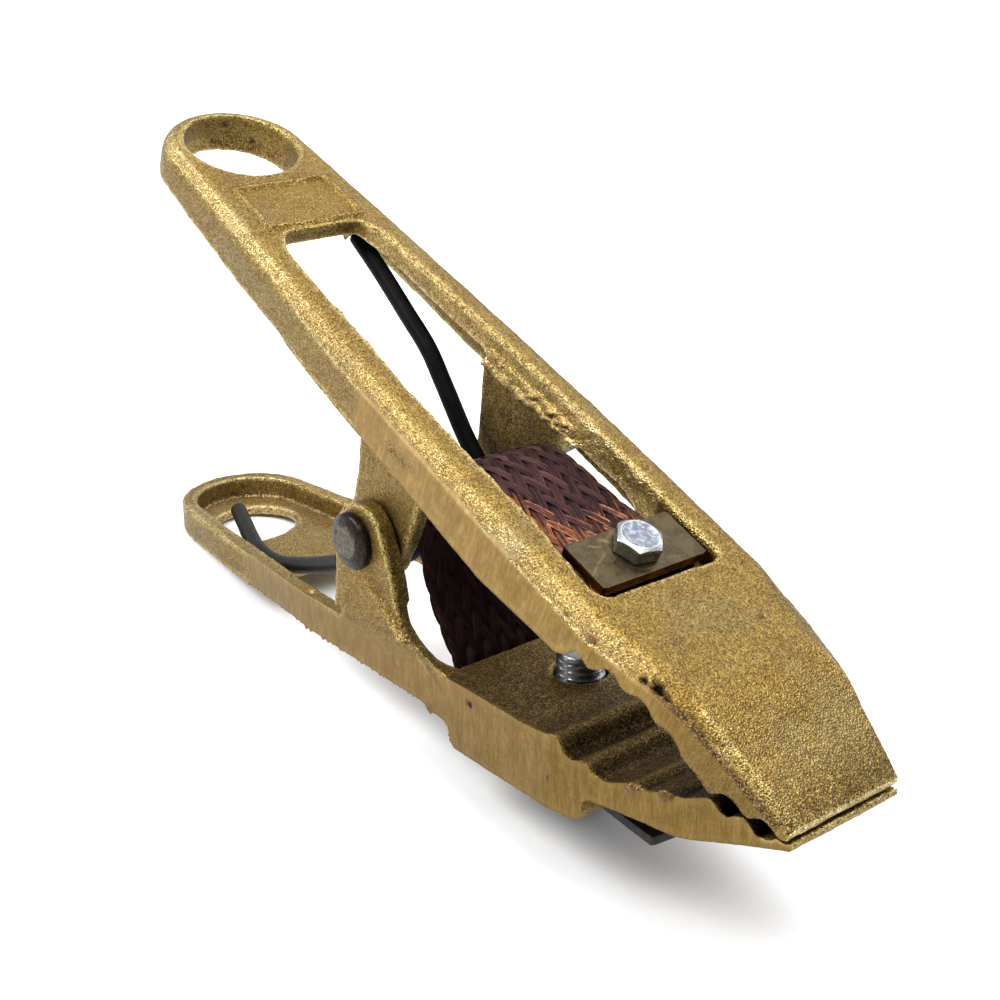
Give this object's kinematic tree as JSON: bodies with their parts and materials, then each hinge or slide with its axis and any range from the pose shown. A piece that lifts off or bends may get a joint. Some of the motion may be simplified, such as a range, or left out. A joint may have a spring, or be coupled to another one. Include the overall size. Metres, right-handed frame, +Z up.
{
  "type": "ground clamp",
  "caption": "Spring-loaded cast brass welding ground clamp: two riveted levers with serrated jaws, a torsion spring, a flat copper braid and a bolted cable terminal.",
  "frame": {"origin": "on the bench plane under the middle of the whole clamp's outline, clamp closed and standing on the cable bolt's head and the back of the lower handle", "axes": "+X from the handles to the jaw tips (the longest extent), +Y along the pivot rivet, +Z up from the bench"},
  "size_m": [0.251, 0.0552, 0.1175],
  "materials": {
    "cast_brass": "rough sand-cast brass, lightly belt-ground on the sides",
    "tarnished_brass": "dark tarnished rolled brass plate",
    "zinc_steel": "bright zinc plated",
    "dark_steel": "dark oiled steel, worn lighter in the middle of the head",
    "spring_steel": "black phosphated spring wire",
    "black_steel": "dull black",
    "copper_braid": "woven copper wire, tarnished purple-brown with bright strands"
  },
  "bodies": {
    "lower": {"lower_jaw": "cast_brass", "pivot_rivet": "dark_steel", "pivot_washer": "dark_steel", "torsion_spring": "spring_steel", "copper_braid": "copper_braid", "cable_plate": "black_steel", "cable_lock_washer": "zinc_steel", "cable_bolt": "zinc_steel"},
    "upper": {"upper_jaw": "cast_brass", "strap_plate": "tarnished_brass", "strap_bolt": "zinc_steel"}
  },
  "joints": [
    {"name": "jaw_pivot", "type": "hinge", "parent": "lower", "child": "upper", "pos_m": [-0.00715, 0, 0.04787], "axis": [0, -1, 0], "range_deg": [0, 30], "stiffness_Nm_per_rad": 19, "springref_deg": -14.9, "deforming": ["torsion_spring", "copper_braid"]}
  ]
}
